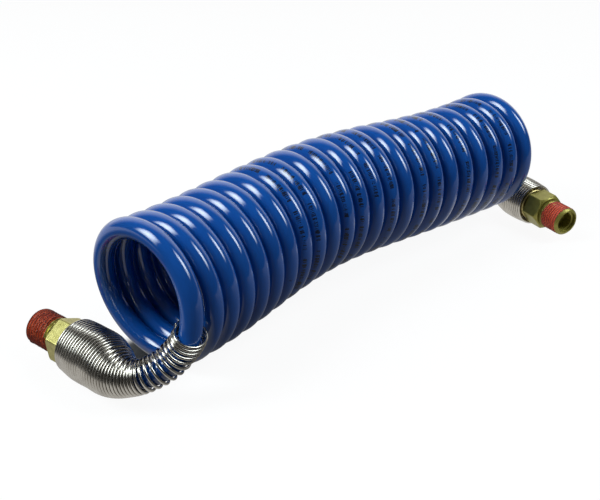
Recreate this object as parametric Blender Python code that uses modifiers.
"""Coiled (self-storing) nylon air hose.

A blue nylon tube wound into a close coil, with a rigid 1/4-18 NPT male inlet
fitting at one end and a swivelling 1/4-18 NPT male outlet fitting at the other.
Each end has a barbed stem, a crimped ferrule and a tapered steel spring guard.

Frame: origin at the middle of the bounding box's base, +X along the coil from
the inlet end to the outlet end, +Z up. Dimensions below are in millimetres and
angles in degrees; MM turns them into metres.

Coil coordinates are along, across and up, about the coil's swept axis. A
fitting's own z runs outward along its axis from its hex's rear face.
"""

import math
from types import SimpleNamespace

import bmesh
import bpy
import numpy as np
from mathutils import Matrix, Vector

for old in list(bpy.data.objects):
    bpy.data.objects.remove(old, do_unlink=True)

MM = 0.001

# ---------------------------------------------------------------- dimensions
ORIGIN = (102.319, -6.701, -29.547)  # middle of the base, from the coil axis's start
UP = (0.0, 0.0, 1.0)

# hose
HOSE_R = 4.0                        # 8 mm outside diameter
HOSE_WALL = 1.1                     # 5.8 mm bore
COIL_R = 24.53                      # centreline radius of the coil
FLARE, FLARE_TURNS = 1.13, 1.5      # the first turns are a little larger
PITCH = (8.27, 2.0, 0.4)            # mm a turn, and how it grows along the coil
TURNS = 23.0                        # turns over which the pitch grows
COIL_END = 22.6                     # turn that the outlet end is placed from
JOINT_IN, JOINT_OUT = 0.08, 22.56   # where the coil meets the two tails, in turns
LINKS = 22                          # separate lengths of hose in the coil
LINK_GAP = 0.3                      # hose left out between two links
LINK_END_RUN = 1.4                  # straight run at each end of a link
TAIL_END_RUN = 1.6                  # from the joint to where a tail starts to bend
EASE_REACH = 3.5                    # handles of a tail's curve onto its fitting's axis
START_ANGLE = 211.1                 # angle of the coil's start about its axis
HEADING = (10.26, -10.42, -40.84, 37.21)   # cubic for the coil axis's direction
SWEEP_LENGTH = 188.6                # length that HEADING and the rise are scaled to
RISE, SETTLE = 7.4, -1.9            # the coil's far end rests on the outlet guard
# how unevenly the turns lie: waves of 1, 2, 3... half-lengths along the coil
SWAY = (-0.4, -0.1, -0.2)           # sideways
SAG = (0.7, 0.2, -1.3, -0.2)        # up and down
GIRTH = (-0.4, 0.5, 0.1, 0.3)       # in radius
END_GIRTH = 0.7                     # the last turns open out again
TAIL_PULL, TAIL_FADE = -5.0, 0.12   # pull on the first turn along the axis; turns it fades in
SEGMENTS_COIL = 12                  # straight runs in a link of hose

# fittings, both 1/4-18 NPT male with a 5/8 in hex
FITTING_Z = -(COIL_R + HOSE_R) + 10.05     # both lie level, on their guards
HEX_AF = 15.88                      # across flats
NECK_R, NECK_L = 6.0, 1.3
NECK_ROOT = 1.0                     # how far the neck reaches into the hex
THREAD_R0, THREAD_R1 = 6.60, 6.20   # NPT taper, at the pitch line
THREAD_TIP_R, THREAD_TIP_L = 5.7, 0.9
SEALANT_GAP, SEALANT_T = 0.25, 0.30
MOUTH_R, MOUTH_L = 5.0, 0.65        # countersink at the thread's end
THREAD_BORE_R, THREAD_BORE_L = 4.35, 7.5
AIR_BORE_R = 1.5
OVERCUT = 1.0                       # how far a bore cutter passes the metal
STEM_R, STEM_L = 2.05, 12.0
BARBS, BARB_R, BARB_PITCH = 3, 2.40, 3.0
FERRULE_IN_R, FERRULE_R, FLANGE_R = 4.35, 5.7, 7.8
FERRULE_L, FLANGE_L = 13.0, 6.2
CRIMPS, CRIMP_PITCH, CRIMP_DEPTH = 3, 1.7, 0.35
SWIVEL_GAP = 1.6                    # from the outlet hex to its ferrule

# swivel, inside the outlet hex
SOCKET_R, SOCKET_TOP = 5.1, 9.0
PASSAGE_R = 2.6                     # from the thread bore to the socket
RING_GROOVE_R, RING_GROOVE_Z = 5.75, (0.95, 1.95)
RING_R, RING_WIRE_R, RING_GAP = 5.2, 0.32, 34     # gap in degrees
HEAD_R, HEAD_TOP, HEAD_BOTTOM = 4.8, 8.6, 3.3
SEAL_GROOVE_R, SEAL_GROOVE_Z = 3.6, (5.0, 7.0)
SEAL_R, SEAL_HALF_W, SEAL_HALF_H = 4.28, 0.55, 0.75
SHANK_R = 3.05
WASHER_IN_R, WASHER_Z = 3.35, (2.25, 3.0)

# spring guards; tables are (distance from the guard's fitting end, value)
WIRE_R = 0.56
GUARD_L = 59.5
GUARD_CLEARANCE = 0.05              # from the ferrule's outer end to the wire
GUARD_CLOSE = 1.22                  # pitch of the close-wound turns
GUARD_RADII = ((0, 9.9), (7, 10.8), (14, 11.0), (21, 9.9), (27, 8.0), (33, 6.1), (70, 6.25))
GUARD_OPEN = (                      # added to the pitch
    (0, 0), (28, 0), (32, 1.4), (36, 1.9), (52, 1.7), (56, 0.12), (70, 0.12),
)
GUARD_SAG = 0.55
SAG_IN_L = 9                        # the sag grows over this length
SAG_OUT_L, SAG_END = 12, 34         # and fades over this length, to nothing here
SEGMENTS_GUARD = 8                  # straight runs in a turn of wire
PATH_STEP = 0.25                    # spacing of the points along a guard's path

# The two ends. side is the way across the coil that the fitting points, and
# also the sign of a step in turns from the joint into the coil. Places along
# a fitting are in its own z; shifts are along the coil.
INLET = SimpleNamespace(
    name="inlet", side=1, joint=JOINT_IN, station_turn=0.0,
    at=(-16.0, 31.65), yaw=0.72,             # (along, across), angle from across
    hex_rear=-11.9, hex_length=7.0,          # hex_rear is measured from at
    hex_turn=25.7, thread_length=14.6,
    sealant_bare=0.35,                       # bare thread left at the free end
    ferrule_top=-0.4, hose_end=-1.0,
    guard_path_top=0.0, guard_sag_along=-1.0,
    lean=0.0,                                # lean of the tail along the coil as it leaves
    bend_z=-23.8, bend_shift=-2.2,           # point the tail bends to
    bend_slope=0.17,                         # change in shift for each mm outward
    reach_coil=11.7, reach_fitting=16.4,     # handles of the bend
    straight_z=-13.6,                        # the tail is on the fitting's axis from here
    bend_points=17, ease_points=7)
OUTLET = SimpleNamespace(
    name="outlet", side=-1, joint=JOINT_OUT, station_turn=COIL_END,
    at=(1.32, -39.39), yaw=18.4,
    hex_rear=-9.0, hex_length=9.6,
    hex_turn=8.0, thread_length=12.6,
    sealant_bare=2.6,
    ferrule_top=-SWIVEL_GAP, hose_end=-SWIVEL_GAP - 0.8,
    guard_path_top=-SWIVEL_GAP, guard_sag_along=0.0,
    lean=0.30,
    bend_z=-31.0, bend_shift=1.5,
    bend_slope=-0.03,
    reach_coil=15.0, reach_fitting=20.0,
    straight_z=-15.4,
    bend_points=19, ease_points=9)
GUARD_BEND_POINTS, GUARD_EASE_POINTS = 60, 30     # finer tail that a guard follows


# ---------------------------------------------------------------- numeric helpers
def unit(v):
    v = np.asarray(v, float)
    return v / np.linalg.norm(v)


def running_integral(values, step):
    return np.concatenate([[0], np.cumsum((values[1:] + values[:-1]) / 2 * step)])


def interp_rows(wanted, known, rows):
    return np.stack([np.interp(wanted, known, column) for column in rows.T], 1)


def smoothstep(x):
    x = np.clip(x, 0, 1)
    return x * x * (3 - 2 * x)


def smooth(values, passes):
    """Average each value with its neighbours, in place, keeping the ends."""
    for _ in range(passes):
        values[1:-1] = (values[:-2] + values[1:-1] + values[2:]) / 3


def waves(v, sizes):
    return sum(size * np.sin((k + 1) * np.pi * v) for k, size in enumerate(sizes))


def bezier(p0, p1, p2, p3, count):
    u = np.linspace(0, 1, count)[:, None]
    return ((1 - u) ** 3 * p0 + 3 * (1 - u) ** 2 * u * p1
            + 3 * (1 - u) * u * u * p2 + u**3 * p3)


def resample(points):
    """Distances and points at every PATH_STEP along a polyline."""
    known = np.r_[0, np.cumsum(np.linalg.norm(np.diff(points, axis=0), axis=1))]
    distance = np.arange(0, known[-1], PATH_STEP)
    return distance, interp_rows(distance, known, points)


# ---------------------------------------------------------------- centrelines
# the coil axis, seen from above, by distance along it
AXIS_S = np.linspace(0, 300, 1201)
AXIS_HEADING = np.radians(sum(c * (AXIS_S / SWEEP_LENGTH) ** k for k, c in enumerate(HEADING)))
AXIS_X = running_integral(np.cos(AXIS_HEADING), AXIS_S[1])
AXIS_Y = running_integral(np.sin(AXIS_HEADING), AXIS_S[1])


def advance(turn):
    """Distance along the coil axis at a turn."""
    u = turn / TURNS
    return PITCH[0] * turn + PITCH[1] * turn * u / 2 + PITCH[2] * turn * u * u / 3


def place(s, along, across, up):
    """A point given about the coil axis at distance s, in mm in the object's frame."""
    x, y, heading = (np.interp(s, AXIS_S, v) for v in (AXIS_X, AXIS_Y, AXIS_HEADING))
    cos, sin = np.cos(heading), np.sin(heading)
    return np.stack(
        np.broadcast_arrays(
            x + along * cos - across * sin - ORIGIN[0],
            y + along * sin + across * cos - ORIGIN[1],
            up - ORIGIN[2],
        ),
        -1,
    )


def lift(s):
    """Height of the coil axis."""
    v = s / SWEEP_LENGTH
    return SETTLE * np.clip((v - 0.5) / 0.5, 0, None) ** 2 + RISE * v


def coil(turn):
    """Hose centreline, by turns from the inlet end."""
    s = advance(turn)
    flare = FLARE * np.exp(-turn / FLARE_TURNS)
    v = turn / COIL_END
    radius = COIL_R + flare + waves(v, GIRTH) + END_GIRTH * v**4
    angle = math.radians(START_ANGLE) - 2 * np.pi * turn
    pull = TAIL_PULL * np.exp(-turn / TAIL_FADE)
    across = waves(v, SWAY) + radius * np.cos(angle)
    # the flare also lifts, so that the larger turns don't hang lower
    up = flare + lift(s) + waves(v, SAG) + radius * np.sin(angle)
    return place(s, pull, across, up)


def along_coil(end):
    """Direction of the coil axis at an end."""
    s = advance(end.station_turn)
    return unit(place(s, 1, 0, 0) - place(s, 0, 0, 0))


def fitting_point(end, z, shift=0.0):
    """Point on a fitting's axis, z outward from its hex's rear face."""
    reach = end.side * (z + end.hex_rear)
    yaw = math.radians(end.yaw)
    return place(advance(end.station_turn), end.at[0] + math.sin(yaw) * reach + shift,
                 end.at[1] + math.cos(yaw) * reach, FITTING_Z)


def tail(end, last_z, bend_points, ease_points):
    """Hose tail from the coil's joint to last_z in its fitting.

    It bends from the coil to the bend point, eases onto the fitting's axis and
    runs straight from there."""
    start = coil(end.joint)
    leaving = unit(start - coil(end.joint + end.side * 0.002))
    first = start + leaving * TAIL_END_RUN
    leaning = unit(leaving + end.lean * along_coil(end))
    bend = fitting_point(end, end.bend_z, end.bend_shift)
    toward = unit(fitting_point(end, end.bend_z + 1, end.bend_shift + end.bend_slope) - bend)
    straight = fitting_point(end, end.straight_z)
    last = fitting_point(end, last_z)
    axis = unit(last - straight)
    return np.vstack([
        [start + leaving * LINK_GAP / 2],
        bezier(first, first + leaning * end.reach_coil, bend - toward * end.reach_fitting,
               bend, bend_points),
        bezier(bend, bend + toward * EASE_REACH, straight - axis * EASE_REACH,
               straight, ease_points)[1:],
        straight + np.linspace(0, 1, 4)[1:, None] * (last - straight),
    ])


def guard_wire(path, sag_side):
    """Centreline of a spring guard's wire.

    path runs from the fitting inwards, sag_side is the way the guard sags.
    The pitch opens on a bend so that the turns on its inner side just clear."""
    s, centre = resample(path)
    keep = s <= GUARD_L
    s, centre = s[keep], centre[keep]
    sag = GUARD_SAG * smoothstep(s / SAG_IN_L) * smoothstep((SAG_END - s) / SAG_OUT_L)
    centre = centre + sag[:, None] * sag_side
    smooth(centre, passes=12)

    tangent = np.gradient(centre, axis=0)
    tangent /= np.linalg.norm(tangent, axis=1)[:, None]
    bend = np.linalg.norm(np.gradient(tangent, axis=0), axis=1) / PATH_STEP
    half_window = 8
    window = 2 * half_window + 1
    bend = np.convolve(np.pad(bend, half_window, mode="edge"), np.ones(window) / window, "valid")

    radius = np.interp(s, *zip(*GUARD_RADII)) - WIRE_R
    smooth(radius, passes=20)
    pitch = GUARD_CLOSE + np.interp(s, *zip(*GUARD_OPEN))
    pitch /= np.clip(1 - bend * radius, 0.35, 1)
    angle = running_integral(1 / pitch, PATH_STEP) * 2 * np.pi

    # frame carried along the path without twist
    normals = [unit(np.cross(tangent[0], UP))]
    for t in tangent[1:]:
        normals.append(unit(normals[-1] - (normals[-1] @ t) * t))
    normals = np.array(normals)
    binormals = np.cross(tangent, normals)

    wound = np.arange(0, angle[-1], 2 * np.pi / SEGMENTS_GUARD)
    centre, normals, binormals, radius = (
        interp_rows(wound, angle, rows) for rows in (centre, normals, binormals, radius[:, None]))
    cos, sin = np.cos(wound)[:, None], np.sin(wound)[:, None]
    return centre + radius * (cos * normals + sin * binormals)


# ---------------------------------------------------------------- materials
def material(name, colour, roughness, metallic):
    mat = bpy.data.materials.new(name)
    mat.use_nodes = True
    shader = mat.node_tree.nodes["Principled BSDF"]
    shader.inputs["Base Color"].default_value = (*colour, 1)
    shader.inputs["Roughness"].default_value = roughness
    shader.inputs["Metallic"].default_value = metallic
    mat.diffuse_color = (*colour, 1)
    return mat


NYLON = material("blue_nylon", colour=(0.012, 0.07, 0.36), roughness=0.18, metallic=0.0)
BRASS = material("brass", colour=(0.72, 0.60, 0.25), roughness=0.25, metallic=1.0)
SEALANT = material("thread_sealant", colour=(0.42, 0.06, 0.03), roughness=0.6, metallic=0.0)
STEEL = material("spring_steel", colour=(0.62, 0.61, 0.57), roughness=0.22, metallic=1.0)
FERRULE = material("ferrule_brass", colour=(0.66, 0.55, 0.24), roughness=0.3, metallic=1.0)
RUBBER = material("nitrile_rubber", colour=(0.02, 0.02, 0.02), roughness=0.5, metallic=0.0)
ACETAL = material("acetal", colour=(0.85, 0.85, 0.82), roughness=0.4, metallic=0.0)


# ---------------------------------------------------------------- object helpers
def collection(name):
    new = bpy.data.collections.new(name)
    bpy.context.scene.collection.children.link(new)
    return new


PARTS = collection("coiled_air_hose")
CUTTERS = collection("cutters")


def add_object(name, data, mat, parent=None):
    """Add a part, or a hidden cutter if it has no material."""
    obj = bpy.data.objects.new(name, data)
    if mat is None:
        CUTTERS.objects.link(obj)
        obj.hide_render = True
        obj.display_type = "WIRE"
    else:
        PARTS.objects.link(obj)
        data.materials.append(mat)
    obj.parent = parent
    return obj


def add_empty(name, matrix):
    obj = bpy.data.objects.new(name, None)
    obj.empty_display_size = 0.01
    PARTS.objects.link(obj)
    obj.matrix_world = matrix
    return obj


def fitting_matrix(end):
    """Local +Z points outward along the fitting, local +X is level."""
    origin = fitting_point(end, 0.0)
    outward = unit(fitting_point(end, 1.0) - origin)
    level = unit(np.cross(UP, outward))
    columns = (level, np.cross(outward, level), outward, origin * MM)
    matrix = Matrix.Identity(4)
    for row in range(3):
        for k, column in enumerate(columns):
            matrix[row][k] = column[row]
    return matrix


def round_curve(name, points, radius, resolution, caps, at):
    """A curve with a round section along points, relative to at."""
    curve = bpy.data.curves.new(name, "CURVE")
    curve.dimensions = "3D"
    spline = curve.splines.new("POLY")
    spline.points.add(len(points) - 1)
    for knot, point in zip(spline.points, points):
        knot.co = (*((point - at) * MM), 1)
    curve.bevel_depth = radius * MM
    curve.bevel_resolution = resolution
    curve.use_fill_caps = caps
    return curve


def add_wire(name, points, radius, at, parent=None):
    """A steel wire along points, with filled ends."""
    curve = round_curve(name, points, radius, resolution=0, caps=True, at=at)
    add_object(name, curve, STEEL, parent).location = at * MM


def add_tube(name, points, at):
    """A length of hose: the open skin of a round curve, thickened inwards to the bore."""
    curve = round_curve(name + "_path", points, HOSE_R, resolution=2, caps=False, at=at)
    skin = bpy.data.objects.new(name + "_skin", curve)
    CUTTERS.objects.link(skin)
    depsgraph = bpy.context.evaluated_depsgraph_get()
    depsgraph.update()
    mesh = bpy.data.meshes.new_from_object(skin.evaluated_get(depsgraph))
    mesh.name = name
    bpy.data.objects.remove(skin, do_unlink=True)
    mesh.materials.clear()
    obj = add_object(name, mesh, NYLON)
    obj.location = at * MM
    mesh.shade_smooth()
    mesh.set_sharp_from_angle(angle=math.radians(60))
    wall = obj.modifiers.new("wall", "SOLIDIFY")
    wall.thickness = HOSE_WALL * MM
    wall.offset = -1
    wall.use_even_offset = False
    wall.use_rim = True


def turned(name, profile, mat, parent, steps=20, closed=True):
    """A shape turned about local Z. profile is (radius, z); a closed loop makes a ring."""
    mesh = bpy.data.meshes.new(name)
    edges = [(k, k + 1) for k in range(len(profile) - 1)]
    if closed:
        edges.append((len(profile) - 1, 0))
    mesh.from_pydata([(r * MM, 0.0, z * MM) for r, z in profile], edges, [])
    obj = add_object(name, mesh, mat, parent)
    screw = obj.modifiers.new("turn", "SCREW")
    screw.axis = "Z"
    screw.angle = 2 * math.pi
    screw.steps = steps
    screw.render_steps = steps
    screw.use_merge_vertices = True
    screw.merge_threshold = 0.00001
    screw.use_smooth_shade = True
    return obj


def boolean(target, tool, operation):
    modifier = target.modifiers.new(operation.lower(), "BOOLEAN")
    modifier.operation = operation
    modifier.solver = "EXACT"
    modifier.object = tool


# ---------------------------------------------------------------- parts of both fittings
def hex_prism(end, axis):
    """A hexagon bar with its corners turned off at both ends."""
    name, length = end.name + "_hex", end.hex_length
    radius = HEX_AF / 2 / math.cos(math.radians(30)) * MM
    bm = bmesh.new()
    bmesh.ops.create_cone(bm, cap_ends=True, segments=6, radius1=radius, radius2=radius,
                          depth=length * MM)
    turn = Matrix.Rotation(math.radians(end.hex_turn), 3, "Z")
    bmesh.ops.rotate(bm, verts=bm.verts, cent=(0, 0, 0), matrix=turn)
    bmesh.ops.translate(bm, verts=bm.verts, vec=(0, 0, length / 2 * MM))
    mesh = bpy.data.meshes.new(name)
    bm.to_mesh(mesh)
    bm.free()
    prism = add_object(name, mesh, None, axis)

    face_r, outer_r, depth, over = 7.55, 9.25, 0.95, 0.01
    chamfer = turned(
        name + "_chamfer",
        [(0.0, length + over), (face_r, length + over), (outer_r, length - depth),
         (outer_r, depth), (face_r, -over), (0.0, -over)],
        None, axis, steps=36, closed=False)
    boolean(prism, chamfer, "INTERSECT")
    return prism


def fitting_body(end, axis, rear, bore_rear, bore_steps):
    """Threaded body, its hex and its bore. rear and bore_rear finish the two profiles."""
    root, tip = end.hex_length, end.hex_length + end.thread_length
    body = turned(
        end.name + "_fitting_body",
        [(0.0, tip), (THREAD_TIP_R, tip), (THREAD_R1, tip - THREAD_TIP_L),
         (THREAD_R0, root + NECK_L + 0.4), (NECK_R, root + NECK_L), (NECK_R, root - NECK_ROOT),
         *rear],
        BRASS, axis, closed=False)
    boolean(body, hex_prism(end, axis), "UNION")
    bore = turned(
        end.name + "_bore",
        [(0.0, tip + OVERCUT), (MOUTH_R, tip + OVERCUT), (MOUTH_R, tip),
         (THREAD_BORE_R, tip - MOUTH_L), (THREAD_BORE_R, tip - THREAD_BORE_L), *bore_rear],
        None, axis, steps=bore_steps, closed=False)
    boolean(body, bore, "DIFFERENCE")


def barbs(first_z):
    """Profile of the barbs on a stem, the first at first_z."""
    profile = []
    for k in range(BARBS):
        z = first_z - k * BARB_PITCH
        profile += [(STEM_R, z + 1.2), (BARB_R, z + 1.2), (STEM_R, z - 0.9)]
    return profile


def thread_sealant(end, axis):
    """Dried sealant baked over the threads, from the neck to near the free end."""
    z0 = end.hex_length + NECK_L + 0.9
    z1 = end.hex_length + end.thread_length - end.sealant_bare
    slope = (THREAD_R0 - THREAD_R1) / (end.thread_length - NECK_L)
    r0 = THREAD_R0 + SEALANT_GAP
    r1 = r0 - slope * (z1 - z0)
    edge_t, edge_l = SEALANT_T * 0.6, 0.6
    turned(end.name + "_thread_sealant",
           [(r1, z1), (r1 + edge_t, z1), (r1 + SEALANT_T, z1 - edge_l),
            (r0 + SEALANT_T, z0 + edge_l), (r0 + edge_t, z0), (r0, z0)],
           SEALANT, axis, steps=24)


def ferrule(end, axis):
    """Crimped ferrule. Its wide collar carries the spring guard's large end."""
    top = end.ferrule_top
    collar, bottom = top - FLANGE_L, top - FERRULE_L
    profile = [(FERRULE_IN_R, top), (FLANGE_R - 0.5, top), (FLANGE_R, top - 0.5),
               (FLANGE_R, collar + 0.6), (FLANGE_R - 0.6, collar), (FERRULE_R, collar - 0.3)]
    crimp_r = FERRULE_R - CRIMP_DEPTH
    for k in range(CRIMPS):
        z = collar - 1.1 - CRIMP_PITCH * k
        profile += [(FERRULE_R, z), (crimp_r, z - 0.35), (crimp_r, z - 0.85), (FERRULE_R, z - 1.2)]
    profile += [(FERRULE_R, bottom + 0.3), (FERRULE_R - 0.3, bottom), (FERRULE_IN_R, bottom)]
    turned(end.name + "_ferrule", profile, FERRULE, axis)


def spring_guard(end, pivot):
    path = tail(end, end.guard_path_top, GUARD_BEND_POINTS, GUARD_EASE_POINTS)[::-1]
    distance, path = resample(path)
    path = path[distance >= end.guard_path_top - end.ferrule_top + GUARD_CLEARANCE + WIRE_R]
    sag_side = end.guard_sag_along * along_coil(end) + np.array((0, 0, -0.2))
    add_wire(end.name + "_spring_guard", guard_wire(path, sag_side), WIRE_R, pivot)


def hose_tail(end, pivot):
    points = tail(end, end.hose_end, end.bend_points, end.ease_points)
    add_tube("hose_%s_tail" % end.name, points, pivot)


def end_axes(end, axis_name):
    """Empties at the hose joint and on the fitting. Returns the joint and the fitting's."""
    pivot = coil(end.joint)
    add_empty(end.name + "_swing_axis", Matrix.Translation(Vector(pivot * MM)))
    return pivot, add_empty(axis_name, fitting_matrix(end))


# ---------------------------------------------------------------- inlet end
def inlet_body(axis):
    """Rigid fitting, with the barbed stem in one piece with it."""
    root = INLET.hex_length
    rear = [(5.0, root - NECK_ROOT), (5.0, 0.5), (3.4, 0.5), (3.4, -0.2), (STEM_R, -0.2),
            *barbs(-3.6), (STEM_R, -STEM_L), (0.0, -STEM_L)]
    bore_z = root + INLET.thread_length - THREAD_BORE_L - 2.0
    bore_rear = [(AIR_BORE_R, bore_z), (AIR_BORE_R, -STEM_L - OVERCUT), (0.0, -STEM_L - OVERCUT)]
    fitting_body(INLET, axis, rear, bore_rear, bore_steps=16)


def build_inlet():
    pivot, axis = end_axes(INLET, "inlet_fitting_axis")
    inlet_body(axis)
    thread_sealant(INLET, axis)
    ferrule(INLET, axis)
    spring_guard(INLET, pivot)
    hose_tail(INLET, pivot)


# ---------------------------------------------------------------- outlet end
def outlet_body(axis):
    """Swivelling fitting, with a grooved socket for the stem's head."""
    root = OUTLET.hex_length
    passage_z = root + OUTLET.thread_length - THREAD_BORE_L - 1.0
    groove_bottom, groove_top = RING_GROOVE_Z
    bore_rear = [(PASSAGE_R, passage_z), (PASSAGE_R, SOCKET_TOP), (SOCKET_R, SOCKET_TOP),
                 (SOCKET_R, groove_top), (RING_GROOVE_R, groove_top),
                 (RING_GROOVE_R, groove_bottom), (SOCKET_R, groove_bottom),
                 (SOCKET_R, -OVERCUT), (0.0, -OVERCUT)]
    fitting_body(OUTLET, axis, [(0.0, root - NECK_ROOT)], bore_rear, bore_steps=24)


def retaining_ring(axis):
    """Wire ring sprung into the socket's groove, with a gap to close it by."""
    half_gap = math.radians(RING_GAP) / 2
    z = sum(RING_GROOVE_Z) / 2
    points = [np.array((RING_R * math.cos(a), RING_R * math.sin(a), z))
              for a in np.linspace(half_gap, 2 * math.pi - half_gap, 17)]
    add_wire("swivel_retaining_ring", points, RING_WIRE_R, np.zeros(3), axis)


def thrust_washer(axis):
    bottom, top = WASHER_Z
    turned("swivel_thrust_washer",
           [(WASHER_IN_R, top), (HEAD_R, top), (HEAD_R, bottom), (WASHER_IN_R, bottom)],
           ACETAL, axis)


def swivel_stem(axis):
    """Grooved head in the socket, shank, and barbs in the hose."""
    groove_bottom, groove_top = SEAL_GROOVE_Z
    shank_z = -SWIVEL_GAP + 0.1
    stem_z = -STEM_L - 1.4
    turned(
        "swivel_stem",
        [(AIR_BORE_R, HEAD_TOP), (HEAD_R - 0.3, HEAD_TOP), (HEAD_R, HEAD_TOP - 0.3),
         (HEAD_R, groove_top), (SEAL_GROOVE_R, groove_top),
         (SEAL_GROOVE_R, groove_bottom), (HEAD_R, groove_bottom),
         (HEAD_R, HEAD_BOTTOM), (SHANK_R, HEAD_BOTTOM), (SHANK_R, shank_z),
         (STEM_R, shank_z - 0.2), *barbs(-4.8), (STEM_R, stem_z), (AIR_BORE_R, stem_z)],
        BRASS, axis)


def o_ring(axis):
    z = sum(SEAL_GROOVE_Z) / 2
    angles = np.linspace(math.pi / 2, -1.5 * math.pi, 9)[:-1]
    turned("swivel_o_ring",
           [(SEAL_R + SEAL_HALF_W * math.cos(a), z + SEAL_HALF_H * math.sin(a)) for a in angles],
           RUBBER, axis)


def build_outlet():
    pivot, axis = end_axes(OUTLET, "outlet_swivel_axis")
    outlet_body(axis)
    thread_sealant(OUTLET, axis)
    retaining_ring(axis)
    thrust_washer(axis)
    swivel_stem(axis)
    o_ring(axis)
    ferrule(OUTLET, axis)
    spring_guard(OUTLET, pivot)
    hose_tail(OUTLET, pivot)


# ---------------------------------------------------------------- the coil
def coil_link(number, start, stop):
    """One length of the coil, between two places in turns. Its origin is on the coil axis."""
    half_gap = LINK_GAP / 2 / (2 * math.pi * COIL_R)
    turns = np.linspace(start, stop, SEGMENTS_COIL + 1)
    turns[0] += half_gap
    turns[-1] -= half_gap
    run = coil(turns)
    # short end runs square to the cut, so that the gap between links is even
    first_way = unit(coil(turns[0] + 0.001) - run[0])
    last_way = unit(coil(turns[-1] - 0.001) - run[-1])
    run = np.vstack([run[:1], run[0] + LINK_END_RUN * first_way, run[1:-1],
                     run[-1] + LINK_END_RUN * last_way, run[-1:]])
    middle = advance((start + stop) / 2)
    add_tube("hose_coil_%02d" % number, run, place(middle, 0, 0, lift(middle)))


def build_coil():
    ends = np.linspace(JOINT_IN, JOINT_OUT, LINKS + 1)
    for k in range(LINKS):
        coil_link(k + 1, ends[k], ends[k + 1])


build_inlet()
build_outlet()
build_coil()
